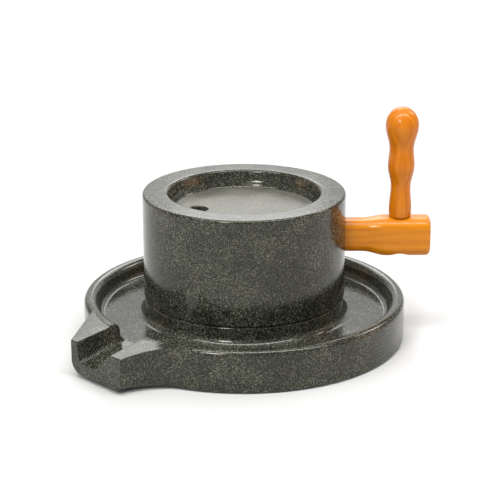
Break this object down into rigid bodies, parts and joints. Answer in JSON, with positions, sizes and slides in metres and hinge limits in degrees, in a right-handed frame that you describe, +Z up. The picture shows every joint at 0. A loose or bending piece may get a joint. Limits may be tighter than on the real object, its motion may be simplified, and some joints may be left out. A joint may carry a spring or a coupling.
{
  "type": "stone hand mill",
  "caption": "Rotary stone hand mill: dished runner stone with a wooden crank turns on a bed stone ringed by a catch trough with a pouring spout.",
  "frame": {"origin": "centre of the tray's resting face, on the axis that the runner turns about", "axes": "+Z up along the runner's axis, the spout pours towards -Y, and the crank rests 45 degrees from +X towards +Y"},
  "size_m": [0.32, 0.3565, 0.2325],
  "materials": {
    "stone": "polished",
    "grout": "matte",
    "steel": "satin",
    "bronze": "satin",
    "arm_wood": "gloss",
    "wedge_wood": "satin",
    "grip_wood": "gloss"
  },
  "bodies": {
    "base": {"base_stone": "stone", "pin_grout": "grout", "centre_pin": "steel"},
    "bush": {"pin_bush": "bronze"},
    "runner": {"runner_stone": "stone", "handle_arm": "arm_wood", "socket_wedges": "wedge_wood"},
    "grip": {"grip": "grip_wood", "grip_washer": "steel", "grip_screw": "steel"}
  },
  "joints": [
    {"name": "runner_spin", "type": "hinge", "parent": "base", "child": "bush", "pos_m": [0, 0, 0.057], "axis": [0, 0, 1], "continuous": true},
    {"name": "runner_lift", "type": "slide", "parent": "bush", "child": "runner", "axis": [0, 0, 1], "range_m": [0, 0.08]},
    {"name": "grip_spin", "type": "hinge", "parent": "runner", "child": "grip", "pos_m": [0.10861, 0.10861, 0.18], "axis": [0, 0, 1], "continuous": true}
  ]
}
